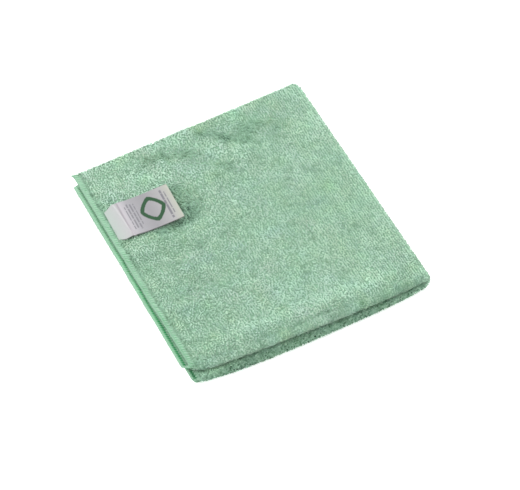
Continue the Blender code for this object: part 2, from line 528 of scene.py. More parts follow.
fibre_material, fibre_shader = new_material("pale_split_microfibre")
fibre_place = add(fibre_shader, "ShaderNodeTexCoord")
bundles = add(fibre_shader, "ShaderNodeTexNoise", {"Scale": per_mm(FIBRE_BUNDLE)},
              {"Vector": fibre_place.outputs["Object"]})
paleness = add(fibre_shader, "ShaderNodeValToRGB", None, {"Fac": bundles.outputs["Fac"]})
paleness.color_ramp.elements[0].color = linear("#98b6a1")
paleness.color_ramp.elements[1].color = linear("#aec8b5")
feed(fibre_shader.inputs["Base Color"], paleness.outputs["Color"])
set_values(fibre_shader, {"IOR": POLYESTER_IOR, "Roughness": 0.6})
print("loose fibres, pale green")

# %% [markdown]
# ## Satin ribbon
#
# Common name: woven polyester satin ribbon, printed. Satin floats its warp on top, so the ribbon is
# smooth and half glossy, with a fine weft rib across it. The rib is about 0.2 mm, too fine for a
# render, so it is drawn at 0.45 mm. Its colour along its length is painted light and shade: lighter
# at the seam and the free end, painted shade in the middle, which curves away from the light, and a
# dark line of painted shade along the crease, with a blue-green painted reflection near the seam and
# a warm one near the free end. Two attributes say where the ink is, grey for the bars and green for
# the mark, whose thicker ink is a little matt.

# %% Satin ribbon material
LABEL_LENGTH = 50.0
WEFT_RIB = 0.45
# The crease's place, as a share of the way from the seam, where a line of painted shade is darkest.
CREASE = 0.215
# Painted light and shade of the ribbon between its two ends, at shares of the way from the seam:
# darkest in the middle, which curves away from the light, and along the crease.
RIBBON_PAINTED_LIGHT = {
    0.195: "#a3a2a4",
    CREASE: "#8c878c",
    0.235: "#a4a0a5",
    0.34: "#8e8d91",
    0.6: "#838285",
    0.86: "#959495",
}
INKS = {"grey_ink": "#6c6b71", "green_ink": "#144122"}
# A Mix node has one set of sockets for each type of data, and these are the ones for colours.
MIX_SHARE, MIX_UNDER, MIX_OVER, MIX_RESULT = 0, 6, 7, 2

ribbon_material, ribbon_shader = new_material("white_satin_ribbon")
along_label = add(ribbon_shader, "ShaderNodeAttribute", {"attribute_name": "along_label"})
share = add(ribbon_shader, "ShaderNodeMapRange", {"From Max": LABEL_LENGTH},
            {"Value": along_label.outputs["Fac"]})
ribbon_shade_ramp = add(ribbon_shader, "ShaderNodeValToRGB", None, {"Fac": share.outputs["Result"]})
# The ribbon's ends: a painted blue-green reflection at the seam and a warmer one at the free end.
ribbon_shade_ramp.color_ramp.elements[0].color = linear("#9ca6a0")
ribbon_shade_ramp.color_ramp.elements[1].color = linear("#9fa196")
for place, shade in RIBBON_PAINTED_LIGHT.items():
    ribbon_shade_ramp.color_ramp.elements.new(place).color = linear(shade)
colour = ribbon_shade_ramp.outputs["Color"]
inked = {ink: add(ribbon_shader, "ShaderNodeAttribute", {"attribute_name": ink}) for ink in INKS}
for ink, shade in INKS.items():
    printed = add(ribbon_shader, "ShaderNodeMix", {"data_type": "RGBA", MIX_OVER: linear(shade)},
                  {MIX_SHARE: inked[ink].outputs["Fac"], MIX_UNDER: colour})
    colour = printed.outputs[MIX_RESULT]
feed(ribbon_shader.inputs["Base Color"], colour)
gloss = add(ribbon_shader, "ShaderNodeMapRange", {"To Min": 0.45, "To Max": 0.6},
            {"Value": inked["green_ink"].outputs["Fac"]})
feed(ribbon_shader.inputs["Roughness"], gloss.outputs["Result"])
set_values(ribbon_shader, {"IOR": POLYESTER_IOR, "Specular IOR Level": 0.3})

# %% Weft rib of the ribbon
rib_turns = add(ribbon_shader, "ShaderNodeMath", {"operation": "MULTIPLY", 1: 2 * np.pi / WEFT_RIB},
                {0: along_label.outputs["Fac"]})
rib = add(ribbon_shader, "ShaderNodeMath", {"operation": "SINE"}, {0: rib_turns.outputs["Value"]})
rib_bump = add(ribbon_shader, "ShaderNodeBump", {"Strength": 0.3, "Distance": 0.05 * MM},
               {"Height": rib.outputs["Value"]})
feed(ribbon_shader.inputs["Normal"], rib_bump.outputs["Normal"])
print(f"satin ribbon, weft rib every {WEFT_RIB} mm")

# %% [markdown]
# ## The ground of the cloth
#
# The ground is the knitted sheet that everything else stands on. It starts as a flat grid with its
# lines close together where a fold will come, its points go to their folded places, and a Solidify
# modifier gives it its thickness. Solidify keeps both faces one thickness apart round the folds,
# which offsetting the points by hand would not.

# %% Knit the ground
GROUND_THICKNESS = 1.3
GROUND_CELL = 4.0
SECOND_FOLD_CELLS = 14
FIRST_FOLD_CELLS = 10


def stations_of(run, turn, turn_cells):
    """Flat stations over a folded strip, close together round its fold."""
    out = np.linspace(0.0, run, round(run / GROUND_CELL) + 1)
    bend = run + turn * np.arange(1, turn_cells) / turn_cells
    back = 2 * run + turn - out[::-1]
    return np.concatenate([out, bend, back])


def thicken(piece, thickness_mm):
    """Gives a sheet its thickness, half to each side."""
    body = piece.modifiers.new("Thickness", "SOLIDIFY")
    body.thickness = thickness_mm * MM
    body.offset = 0.0


u_lines = stations_of(RUN_ACROSS, TURN_ACROSS, SECOND_FOLD_CELLS)
v_lines = stations_of(RUN_ALONG, TURN_ALONG, FIRST_FOLD_CELLS)
flat_u, flat_v = [g.ravel() for g in np.meshgrid(u_lines, v_lines, indexing="ij")]
ground = make_mesh("cloth_ground", folded(flat_u, flat_v), grid_faces(len(u_lines), len(v_lines)),
                   ground_material,
                   {"flat_place": np.stack([flat_u, flat_v, np.zeros_like(flat_u)], axis=-1)})
thicken(ground, GROUND_THICKNESS)

# %% [markdown]
# ## Chance that is soft
#
# Nothing on a washed cloth is even, but it isn't noise either: loops that stand together look alike.
# So most chance here comes in patches: chance numbers on a coarse grid, blended smoothly between.
# Every grid has its own seed, so the cloth comes out the same each time.

# %% Patches over the cloth
# A kind of patch is its size in mm and its seed.
CLUMPS = (2.3, 7)
# Spare lines keep every place inside the grid, and no place comes nearer to its end than this.
SPARE_LINES = 3
SHORT_OF_END = 2.001


def patches(u, v, size, seed):
    """Soft chance patches over the flat cloth, about size mm wide, with values round 0."""
    chance = np.random.default_rng(seed)
    grid = chance.normal(0.0, 1.0, (int(WIDTH / size) + SPARE_LINES, int(LENGTH / size) + SPARE_LINES))
    x = np.clip(u / size, 0.0, grid.shape[0] - SHORT_OF_END)
    y = np.clip(v / size, 0.0, grid.shape[1] - SHORT_OF_END)
    i = x.astype(int)
    j = y.astype(int)
    back = mix(grid[i, j], grid[i + 1, j], smooth(x - i))
    front = mix(grid[i, j + 1], grid[i + 1, j + 1], smooth(x - i))
    return mix(back, front, smooth(y - j))


example = patches(flat_u, flat_v, *CLUMPS)
print(f"patches of {CLUMPS[0]} mm run from {example.min():.1f} to {example.max():.1f}")

# %% [markdown]
# ## Tubes of yarn
#
# Loops, threads, stitches and loose fibres are all thin tubes. A curve object with a bevel would
# make each of them, but tens of thousands of curves are slow. Here all tubes of one piece are swept
# at once: each path gets a ring of three points at every step, and the rings are joined by faces.

# %% Sweep many tubes
TUBE_SIDES = 3


def tubes(paths, outs, radii):
    """Points and faces of open tubes. paths are (count, rings, 3), and outs and radii fit them."""
    count, rings, _ = paths.shape
    ahead = unit(np.gradient(paths, axis=1))
    aside = unit(np.cross(ahead, outs))
    upward = np.cross(aside, ahead)
    angles = 2 * np.pi * (np.arange(TUBE_SIDES) + 0.5) / TUBE_SIDES
    circle = aside[:, :, None] * np.cos(angles)[:, None] + upward[:, :, None] * np.sin(angles)[:, None]
    points = paths[:, :, None] + circle * radii[:, :, None, None]
    first_points = rings * TUBE_SIDES * np.arange(count)
    faces = grid_faces(rings, TUBE_SIDES, joined=(0, 1))[:, TURNED] + first_points[:, None, None]
    return points.reshape(-1, 3), faces.reshape(-1, 4)


def tube_piece(name, paths, outs, radii, material, values=None, grounded=False):
    """A piece of many tubes, with values for each ring. A grounded one stays above the floor."""
    points, faces = tubes(paths, outs, radii)
    if grounded:
        points[:, 2] = np.maximum(points[:, 2], 0.0)
    values = {label: np.repeat(data, TUBE_SIDES) for label, data in (values or {}).items()}
    return make_mesh(name, points, faces, material, values)


# %% [markdown]
# ## Where the label lies
#
# The label lies on the top layer, over the left hem, and it keeps the pile under its sewn end
# pressed down. So its place is settled before the pile is made. It is given in millimetres of the
# layout, from the middle of its seam.

# %% The label's place
LABEL_WIDTH = 33.0
LABEL_START = np.array([-90.0, 46.0])
LABEL_TURN = np.radians(-1.8)
PRESSED_LENGTH = 12.0
PRESSED_HALF_WIDTH = 15.0


def label_flat(places):
    """How far along and across the label a folded place lies, in mm from the middle of its seam."""
    away = places[..., :2] + BOX_CENTRE[:2] - LABEL_START
    along = away[..., 0] * np.cos(LABEL_TURN) + away[..., 1] * np.sin(LABEL_TURN)
    across = -away[..., 0] * np.sin(LABEL_TURN) + away[..., 1] * np.cos(LABEL_TURN)
    return along, across


def under_label(place):
    """True where the label's sewn end presses the top layer's pile down."""
    along, across = label_flat(place)
    on_top = place[:, 2] > STACK_MIDDLE_Z
    return (along < PRESSED_LENGTH) & (np.abs(across) < PRESSED_HALF_WIDTH) & on_top


print(f"label seam at {LABEL_START.tolist()} mm, turned {np.degrees(LABEL_TURN):.1f} degrees")

# %% [markdown]
# ## Light and shade painted on the pile
#
# The pile's tone gets painted light and shade from soft strokes: painted highlight on the lit
# flanks of the ridges and the front swell, on the upper lip and along the rims of the folds and
# edges, and painted shade in the hollows, above and on the lower lip, in the trough beside the side
# hems and where the label casts its shadow, with a broad painted gradient from the darker left to
# the lighter right. The same strokes make the yarn a little thicker under painted light and thinner
# under painted shade, so they set both for each loop.

# %% Strokes of painted light and shade in the pile
# Each row: start, end, half width and strength, as a share of lightness. A positive strength is
# painted light and a negative one painted shade.
PAINTED_LIGHT_STROKES = {
    "ridge_crest": ((-14, 98.5), (25, 61), 3.5, 0.13),
    "deep_hollow": ((7, 96), (19, 85), 5.0, -0.40),
    "hollow_end": ((22, 82), (33, 76), 5.0, -0.28),
    "hollow_fade": ((34, 87), (64, 82), 7.0, -0.17),
    "hollow_spread": ((24, 96), (40, 92), 8.0, -0.04),
    "back_right": ((46, 74), (62, 70), 9.0, -0.10),
    "left_corner": ((-85, 82), (-62, 78), 7.0, 0.02),
    "middle_side": ((-52, 80), (-11, 56), 4.0, 0.07),
    "middle_foot": ((-11, 56), (3, 40), 4.0, 0.05),
    "back_left": ((-57, 97), (-40, 89), 6.0, -0.13),
    "middle_back": ((-42, 92), (-13, 83), 6.0, -0.28),
    "middle_end": ((-9, 77), (11, 58), 5.0, -0.15),
    "below_ripple": ((-80, 7), (-20, 2), 5.0, -0.08),
    "left_ripple": ((-84, -5), (-62, -7), 5.0, -0.08),
    "low_ripple": ((-84, -30), (-50, -32), 7.0, -0.05),
    "over_ripple": ((-84, 19), (-60, 17), 5.0, -0.09),
    "front_stripe": ((-60, -81), (70, -83), 5.5, 0.12),
    "front_wide": ((-40, -70), (60, -75), 14.0, 0.04),
    # Painted highlight along the right fold and the back edge.
    "right_rim": ((93, -92), (92, 104), 6.0, 0.27),
    "right_edge": ((96, -92), (95, 104), 2.5, 0.30),
    "back_rim": ((-92, 101), (90, 110), 5.0, 0.18),
    # The label's painted shadow on the pile, beside its free end and in front of it.
    "beyond_label": ((-34, 55), (-32, 34), 8.0, -0.38),
    "before_label": ((-62, 24.5), (-42, 25), 3.2, -0.34),
    "label_corner": ((-48, 25.5), (-36, 28), 4.0, -0.38),
    # Painted shade above the lip and on the lower lip, and a painted highlight on the upper lip.
    "above_lip": ((-88, -92.5), (85, -95.5), 3.2, -0.15),
    "upper_lip": ((-88, -98.5), (85, -100.5), 2.0, 0.10),
    "lower_lip": ((-92, -105.5), (90, -102), 4.0, -0.48),
    "left_part": ((-60, -60), (-60, 15), 28.0, -0.035),
    "right_part": ((62, -70), (64, 60), 22.0, 0.045),
    "middle_line": ((0, -4), (0, -42), 4.0, -0.06),
    # More painted highlight at the front and right corners of the right fold.
    "front_corner": ((82, -92), (90, -92), 6.0, 0.12),
    "right_corner": ((97, -50), (95, -96), 3.0, 0.22),
}
print(f"{len(PAINTED_LIGHT_STROKES)} strokes in the pile")

# %% Painted light on the pile
HEM_WIDTH = 4.2
HEM_TROUGH = 3.2
# Painted shade in the trough beside the side hems, as a share of lightness.
TROUGH_SHADE = 0.36
# No stroke reaches the face that lies down, or the outermost part of the right fold.
FACING_DOWN = -0.5
FACING_RIGHT = 0.7
FACING_FADE = 0.25


def painted_light_on_pile(u, place, out):
    """Share by which each loop is painted lighter or darker, as light and shade."""
    drawn = place + BOX_CENTRE
    strokes = soft_strokes(PAINTED_LIGHT_STROKES, drawn[:, 0], drawn[:, 1])
    painted_light = np.where(out[:, 2] > FACING_DOWN, strokes, 0.0)
    painted_light = painted_light * (1.0 - smooth((out[:, 0] - FACING_RIGHT) / FACING_FADE))
    by_side = 1.0 - smooth((np.minimum(u, WIDTH - u) - HEM_WIDTH) / HEM_TROUGH)
    return painted_light - TROUGH_SHADE * by_side


print(f"along the side hems the pile is {TROUGH_SHADE:.0%} deeper in tone")

# %% [markdown]
# ## How light each loop is
#
# Each loop catches the light in its own way, and so do the clumps that stick together after
# washing. Three sizes of patches make the speckle: clumps of about 2 mm, tufts of about 5 mm and
# slow shades over a centimetre. Real clumps part more sharply than they rise, so the darkest places
# are small and deep, which the square term gives. Where the strokes paint light the speckle is
# weaker, and where they paint shade it is stronger. Toward the right fold the rows were never
# ruffled, and there they stand in better order.

# %% Order of the rows
RUFFLED_TO = 100.0
ORDERED_FROM = 160.0
ORDER_PAST_RUN = 2.0
ORDER_FADE = 5.0


def combed(u):
    """0 where the rows of loops are ruffled, 1 toward the right fold where they stand in order."""
    order = smooth((u - RUFFLED_TO) / (ORDERED_FROM - RUFFLED_TO))
    return order * (1.0 - smooth((u - RUN_ACROSS - ORDER_PAST_RUN) / ORDER_FADE))


print(f"rows ruffled up to {RUFFLED_TO} mm across, in order from {ORDERED_FROM} mm to the fold")

# %% Speckle
CLUMP_SHARE = 0.08
CLUMP_PARTING = 0.4
CLUMP_LEVEL = 0.22
CLUMP_DEEPEST = -1.8
TUFTS = (4.5, 5)
TUFT_SHARE = 0.05
SHADES = (13.0, 8)
SHADE_SHARE = 0.012
OWN_SHARE = 0.065
OWN_DEEPEST = 3.0


def speckle(u, v, chance, fleck):
    """Chance lightness of each loop: its own, and that of the soft clumps round it."""
    shadow = np.minimum(chance.exponential(1.0, len(u)), OWN_DEEPEST)
    own = OWN_SHARE * (1.0 - shadow) + fleck * chance.normal(0.0, 1.0, len(u))
    clump = np.maximum(patches(u, v, *CLUMPS), CLUMP_DEEPEST)
    clumps = CLUMP_SHARE * (clump - CLUMP_PARTING * clump**2 + CLUMP_LEVEL)
    return own + clumps + TUFT_SHARE * patches(u, v, *TUFTS) + SHADE_SHARE * patches(u, v, *SHADES)


example = speckle(flat_u, flat_v, np.random.default_rng(CLUMPS[1]), 0.0)
print(f"speckle of {example.std():.0%} round {example.mean():.1%}")

# %% Tone, depth and hue of the loops
ORDERED_CONTRAST = 0.05
# How much the painted light evens out the speckle and within which limits, then how much deeper the
# colour is painted where the tone is dark, as in shade, and the most depth.
PAINTED_LIGHT_EVENS = 2.2
PAINTED_LIGHT_LIMITS = (-0.5, 0.3)
DEPTH_OF_DARK = 0.8
MOST_DEPTH = 1.6
FADED = (11.0, 13)
FADED_SHARE = 0.06
WARMTH = (9.0, 10)
WARMTH_SHARE = 0.011
FLECKS = (2.6, 11)
FLECK_SHARE = 0.006


def loop_colour(u, v, painted_light, chance, fleck):
    """The tone, depth and hue that each loop carries."""
    uneven = 1.0 + ORDERED_CONTRAST * combed(u) - PAINTED_LIGHT_EVENS * np.clip(painted_light, *PAINTED_LIGHT_LIMITS)
    tone = (1.0 + uneven * speckle(u, v, chance, fleck)) * (1.0 + painted_light)
    depth = np.clip(1.0 + DEPTH_OF_DARK * (1.0 - tone), 1.0, MOST_DEPTH)
    depth = depth + FADED_SHARE * patches(u, v, *FADED) + fleck
    hue = EVEN_HUE + WARMTH_SHARE * patches(u, v, *WARMTH) + FLECK_SHARE * patches(u, v, *FLECKS)
    return {"tone": tone, "depth": depth, "hue": hue}


# %% [markdown]
# ## One loop, many times
#
# A loop is a short arch of yarn with both feet in the ground. Real yarn is about 0.6 mm thick and
# too fine to show at this size, so it is drawn at 1.5 mm. Four rings of three points are enough for
# a loop's round look, and they keep the whole cloth under a million triangles. Real loops lean,
# twist and crowd each other, so each gets its own turn, lean, height and span.

# %% Sizes of a loop
LOOP_SPAN = 1.3
LOOP_HEIGHT = 0.52
YARN_RADIUS = 0.75
ARCH = np.radians([180.0, 120.0, 60.0, 0.0])
ARCH_SWELL = np.array([0.75, 1.0, 1.0, 0.75])
FOOT_DEPTH = 0.15
PRESSED_HEIGHT = 0.3
print(f"loops {LOOP_SPAN} mm wide, of yarn {2 * YARN_RADIUS} mm thick")

# %% Build loops
# How much chance each loop has in its turn and lean, in radians, and in its size and its yarn.
TURN_CHANCE = 0.75
LEAN_CHANCE = 0.40
SIZE_CHANCE = (0.65, 1.3)
YARN_CHANCE = (0.8, 1.2)
# What order takes from the turn and the lean, a hem from the height, and ruffling from the span.
TURN_ORDER = 0.4
LEAN_ORDER = 0.3
HEM_PRESS = 0.6
RUFFLED_CLOSE = 0.7
# How much thicker the yarn is under painted light, and thinner under painted shade.
PAINTED_LIGHT_THICKENS = 0.4
LEANING = (14.0, 6)
LEANING_SHARE = 0.25
RISING = (5.0, 9)
RISING_SHARE = 0.12


def from_hem(u, v):
    """Flat distance from the nearest edge of the cloth."""
    return np.minimum(np.minimum(u, WIDTH - u), np.minimum(v, LENGTH - v))


def make_loops(name, places, seed, height=LOOP_HEIGHT, fleck=0.0, ruffle=1.0):
    """One arch of yarn at each flat place, on the face of the cloth that is seen."""
    u, v = places
    chance = np.random.default_rng(seed)
    count = len(u)
    place, across, along, out = on_sheet(u, v)
    by_hem = 1.0 - smooth((from_hem(u, v) - HEM_WIDTH) / HEM_TROUGH)
    order = combed(u)
    turn = chance.normal(0.0, TURN_CHANCE * ruffle, count) * (1.0 - TURN_ORDER * order)
    lean = chance.normal(0.0, LEAN_CHANCE, count) * (1.0 - LEAN_ORDER * order)
    lean = lean + LEANING_SHARE * patches(u, v, *LEANING)
    tall = height * chance.uniform(*SIZE_CHANCE, count) * (1.0 + RISING_SHARE * patches(u, v, *RISING))
    tall = np.where(under_label(place), PRESSED_HEIGHT * tall, tall) * (1.0 - HEM_PRESS * by_hem)
    span = LOOP_SPAN / 2 * chance.uniform(*SIZE_CHANCE, count) / ruffle**RUFFLED_CLOSE
    painted_light = painted_light_on_pile(u, place, out)
    thick = YARN_RADIUS * chance.uniform(*YARN_CHANCE, count) * (1.0 + PAINTED_LIGHT_THICKENS * painted_light)
    forward = along * np.cos(turn)[:, None] + across * np.sin(turn)[:, None]
    rise = out * np.cos(lean)[:, None] + np.cross(out, forward) * np.sin(lean)[:, None]
    foot = place + out * (GROUND_THICKNESS / 2 - FOOT_DEPTH)
    reach = (np.cos(ARCH) * span[:, None])[:, :, None]
    climb = (np.sin(ARCH) * tall[:, None])[:, :, None]
    paths = foot[:, None] + forward[:, None] * reach + rise[:, None] * climb
    colours = loop_colour(u, v, painted_light, chance, fleck)
    values = {label: np.repeat(data, len(ARCH)) for label, data in colours.items()}
    values["pile_height"] = np.tile(np.sin(ARCH), count)
    return tube_piece(name, paths, rise[:, None], thick[:, None] * ARCH_SWELL, pile_material, values,
                      grounded=True)


# %% [markdown]
# ## Rows of loops
#
# The knitting machine makes the loops in upright rows, the wales, which run from the back of the
# cloth to its front. Every second wale is set half a loop on. Real wales are about 1 mm apart, and
# here they are 1.8 mm apart, to go with the thicker yarn. Wear moves the loops a little out of their
# rows and pulls a few out altogether, and there the ground shows.

# %% Places of the loops
WALE_SPACING = 1.8
LOOP_SPACING = 1.1
PLACE_CHANCE = 0.25
PLACE_ORDER = 0.4
PARTING = (1.4, 12)
PARTED_BELOW = -1.6


def loop_places(u_span, v_span, wale, course, seed):
    """Flat places of the loops in a rectangle of the cloth: wales across, loops along them."""
    chance = np.random.default_rng(seed)
    u_rows = np.arange(*u_span, wale)
    v_rows = np.arange(*v_span, course)
    u, v = [g.ravel() for g in np.meshgrid(u_rows, v_rows, indexing="ij")]
    v = v + course / 2 * (np.round(u / wale) % 2)
    u = u + chance.normal(0.0, PLACE_CHANCE * wale, len(u)) * (1.0 - PLACE_ORDER * combed(u))
    v = v + chance.normal(0.0, PLACE_CHANCE * course, len(v))
    parted = patches(u, v, *PARTING) < PARTED_BELOW
    return u[~parted], v[~parted]


# %% [markdown]
# ## Cover the cloth
#
# Only the outer face of the stack needs its pile: the top, both folds, the front edges of the lower
# layers and the underside. Round a fold the outer face is longer than the middle of the sheet, so
# the loops start closer together there. The top comes in four strips, which keeps each piece light.
# The front edge of the lower pair has not been handled, so its loops are ruffled and flecked most.

# %% Lay the pile
HEM_IN = HEM_WIDTH + 0.3
HEM_OUT = WIDTH - HEM_IN
LIP_START = RUN_ALONG - 12.0
FRONT_START = RUN_ALONG - 2.0
FRONT_END = RUN_ALONG + TURN_ALONG + 6.0
LIP_END = FRONT_END + 4.0
FOLD_START = RUN_ACROSS - 1.0
FOLD_END = RUN_ACROSS + TURN_ACROSS
TOP = (HEM_IN, FRONT_START)
ROWS = (WALE_SPACING, LOOP_SPACING)
# Each row: span across, span along, spacing of wales and loops, seed, and what its loops have.
PILE = {
    "pile_top_1": ((HEM_IN, 50.0), TOP, ROWS, 30, {}),
    "pile_top_2": ((50.0, 94.0), TOP, ROWS, 31, {}),
    "pile_top_3": ((94.0, 138.0), TOP, ROWS, 32, {}),
    "pile_top_4": ((138.0, FOLD_START), TOP, ROWS, 33, {}),
    "pile_right_fold": ((FOLD_START, FOLD_END), (HEM_IN, FRONT_END), (1.45, LOOP_SPACING), 36,
                        {"ruffle": 1.5}),
    "pile_upper_lip": ((HEM_IN, FOLD_START), (FRONT_START, FRONT_END), (WALE_SPACING, 0.6), 37,
                       {"fleck": 0.06, "ruffle": 2.0}),
    "pile_lower_lip": ((FOLD_END, HEM_OUT), (LIP_START, LIP_END), (WALE_SPACING, 0.7), 38,
                       {"fleck": 0.16, "ruffle": 2.4}),
    "pile_underside": ((FOLD_END, HEM_OUT), (HEM_IN, LIP_START), (2.3, 2.0), 39, {"height": 0.5}),
}
# The loops' own chance has the seed of their places and this much more.
LOOP_SEED = 10

pile = []
for name, (u_span, v_span, spacing, seed, own) in PILE.items():
    places = loop_places(u_span, v_span, *spacing, seed)
    pile.append(make_loops(name, places, seed + LOOP_SEED, **own))
faces_in_loop = (len(ARCH) - 1) * TUBE_SIDES
print(f"{sum(len(piece.data.polygons) for piece in pile) // faces_in_loop} loops")

# %% [markdown]
# ## The overlocked hem
#
# An overlock wraps the raw edge: a needle thread runs along the inside, and two looper threads
# cross the band on each face and lock over the edge. With bulked looper thread the band reads as a
# smooth soft rim with fine cross ribs. First comes the padded edge itself, a closed band that runs
# round the whole flat cloth and is folded with it.

# %% Wrap the edge
# Each row: how far in from the edge, and how high over the middle of the sheet.
HEM_PROFILE = np.array([
    (4.6, 0.2), (4.1, 0.35), (3.6, 0.55), (2.8, 0.68), (1.8, 0.68), (0.8, 0.55), (0.3, 0.3), (0.0, 0.0),
])
HEM_STATION = 1.6
ROUND = 2 * (WIDTH + LENGTH)
OTHER_FACE = np.array([1.0, -1.0])


def round_edge(way, inset):
    """Flat places at a way round the cloth's edge, an inset in from it, mitred at the corners."""
    side = np.searchsorted(np.cumsum([WIDTH, LENGTH, WIDTH]), way, side="right")
    begin = np.array([0.0, WIDTH, WIDTH + LENGTH, 2 * WIDTH + LENGTH])[side]
    share = (way - begin) / np.array([WIDTH, LENGTH, WIDTH, LENGTH])[side]
    u_run = inset + (WIDTH - 2 * inset) * share
    v_run = inset + (LENGTH - 2 * inset) * share
    u = np.choose(side, [u_run, WIDTH - inset, WIDTH - u_run, inset])
    v = np.choose(side, [inset, v_run, LENGTH - inset, LENGTH - v_run])
    return u, v


def wrapped(way, profile):
    """Places over the edge, for ways round it and a profile of insets and heights at each."""
    u, v = round_edge(way, profile[..., 0])
    place, _, _, out = on_sheet(u, v)
    return place + out * profile[..., 1:], out


def both_faces(profile):
    """A profile over the upper face, carried on round the edge and over the lower face."""
    return np.concatenate([profile, profile[-2::-1] * OTHER_FACE])


band_ways = np.arange(0.0, ROUND - HEM_STATION / 2, HEM_STATION)[:, None]
band_profile = both_faces(HEM_PROFILE)
band_points, _ = wrapped(band_ways, band_profile)
band_faces = grid_faces(len(band_ways), len(band_profile), joined=(1, 1))[:, TURNED]
print(f"edge of {ROUND * MM:.2f} m")

# %% [markdown]
# ## Light and shade painted on the hem
#
# The hems lie at different heights, and their tone is painted to even out and deepen the light that
# falls on them. The top layer's hem takes the most light, so it is painted a little darker, and its
# rim and inner side get painted shade. The one below it lies in the top hem's shade and is painted
# lighter, but darker and deeper in colour in the gap beside the top hem near the front, where it is
# tucked in. The two lowest hems lie in the dark and get painted shade. One function gives the hem's
# tone for each layer.

# %% Tone of the hem
# The top hem: its painted tone, a little darker since it takes the most light, and how much painted
# shade its rim and its inner side get.
TOP_BAND = 0.80
RIM_DIM = 0.20
FOLD_RIM_DIM = 0.26
RIM_WIDTH = 1.6
INNER_DIM = 0.12
INNER_FROM = 3.0
INNER_FADE = 1.2
# The next hem: how far in it is tucked, which the front fold changes, and how much painted shade
# that gives it, and its painted shade near the front fold.
TUCKED_FROM = 1.5
TUCKED_BY_FOLD = 0.9
TUCKED_FADE = 2.0
TUCKED_DIM = 0.5
NEXT_DIM = 0.12
# How far along the hem each of these reaches from the front fold, and the last from the corner.
FOLD_REACH = 70.0
GROOVE_SHADE_REACH = 115.0
BEND_REACH = 3.5
CORNER_REACH = 5.0
# Painted shade at the bend of the front fold, a darker tone close to the back edge, and the painted tone
# of the two lowest hems, which lie in shade.
BEND_DIM = 0.2
CORNER_TONE = 0.8
LOW_BANDS = 0.31


def hem_shade(u, v, inset):
    """Painted lightness of the hem, and where deep colour is painted into the shaded gap by the top hem.
    """
    inner = smooth((v - RUN_ALONG) / TURN_ALONG)
    lower = smooth((u - RUN_ACROSS) / TURN_ACROSS)
    from_fold = v - RUN_ALONG - TURN_ALONG / 2
    near_fold, near_groove, bend = [np.exp(-((from_fold / reach) ** 2))
                                for reach in (FOLD_REACH, GROOVE_SHADE_REACH, BEND_REACH)]
    rim = 1.0 - smooth(inset / RIM_WIDTH)
    top_tone = TOP_BAND - (RIM_DIM + FOLD_RIM_DIM * near_fold) * rim
    top_tone = top_tone - INNER_DIM * smooth((inset - INNER_FROM) / INNER_FADE)
    tucked = smooth((inset - TUCKED_FROM + TUCKED_BY_FOLD * near_fold) / TUCKED_FADE)
    next_tone = (1.0 - NEXT_DIM * near_fold) * (1.0 - TUCKED_DIM * tucked)
    upper_tone = mix(top_tone, next_tone, inner) * (1.0 - BEND_DIM * bend)
    upper_tone = upper_tone * mix(CORNER_TONE, 1.0, smooth(v / CORNER_REACH))
    groove_shade = near_groove * mix(rim, 1.0, inner) * (1.0 - lower)
    return mix(upper_tone, LOW_BANDS, lower), groove_shade


print(f"top hem's tone {TOP_BAND}, lowest hems' tone {LOW_BANDS}")

# %% Colour the wrapped edge
# Thread is painted deeper in colour in the shaded gap beside the top hem, and where its painted
# tone is darker than this.
GROOVE_SHADE_DEPTH = 0.45
DARK_BELOW = 0.7
DARK_DEPTH = 2.5
MOST_DARK = 0.5


def hem_values(way, inset, noise):
    """The tone, depth and hue that each point of the hem carries."""
    u, v = round_edge(way, inset)
    shade, groove_shade = hem_shade(u, v, inset)
    tone = (shade * (1.0 + noise)).ravel()
    depth = 1.0 + DARK_DEPTH * np.clip(DARK_BELOW - tone, 0.0, MOST_DARK) + GROOVE_SHADE_DEPTH * groove_shade.ravel()
    return {"tone": tone, "depth": depth, "hue": np.full(tone.shape, EVEN_HUE)}


hem_band = make_mesh("hem_band", band_points.reshape(-1, 3), band_faces, edge_material,
                     hem_values(band_ways, band_profile[:, 0], 0.0))

# %% [markdown]
# ## Looper threads
#
# The looper threads are what the eye sees of an overlock: a rung every millimetre or so, slanting
# one way and then the other, round the edge and back. Each rung is one tube that follows a profile
# over both faces. It is thinnest where it dives under the needle thread.

# %% Lay the looper threads
THREAD_SPACING = 1.15
THREAD_RADIUS = 0.4
THREAD_SLANT = 0.45
THREAD_PROFILE = np.array([
    (4.1, 0.2), (3.6, 0.5), (2.7, 0.66), (1.7, 0.64), (0.6, 0.48), (0.0, 0.0),
])
THREAD_THINNING = np.array([0.8, 1.0, 1.0, 1.0, 0.9, 0.6])
# Chance along the edge and off the profile in mm, in thickness, and in tone.
THREAD_SWAY = 0.1
THREAD_WOBBLE = 0.05
THREAD_CHANCE = (0.85, 1.15)
THREAD_TONE = 0.05

chance = np.random.default_rng(51)
thread_profile = both_faces(THREAD_PROFILE)
starts = np.arange(0.0, ROUND - THREAD_SPACING / 2, THREAD_SPACING)[:, None]
count = len(starts)
slant = THREAD_SLANT * np.where(np.arange(count) % 2, 1.0, -1.0)[:, None]
swing = np.linspace(-1.0, 1.0, len(thread_profile))
ways = np.mod(starts + slant * swing + chance.normal(0.0, THREAD_SWAY, (count, 1)), ROUND)
profiles = thread_profile + chance.normal(0.0, THREAD_WOBBLE, (count, *thread_profile.shape))
thread_paths, _ = wrapped(ways, profiles)
thinning = THREAD_RADIUS * np.concatenate([THREAD_THINNING, THREAD_THINNING[-2::-1]])
thread_radii = thinning * chance.uniform(*THREAD_CHANCE, (count, 1))
thread_outs = unit(thread_paths - thread_paths.mean(axis=1, keepdims=True))
thread_noise = chance.normal(0.0, THREAD_TONE, (count, 1)) + THREAD_TONE * np.sign(slant)
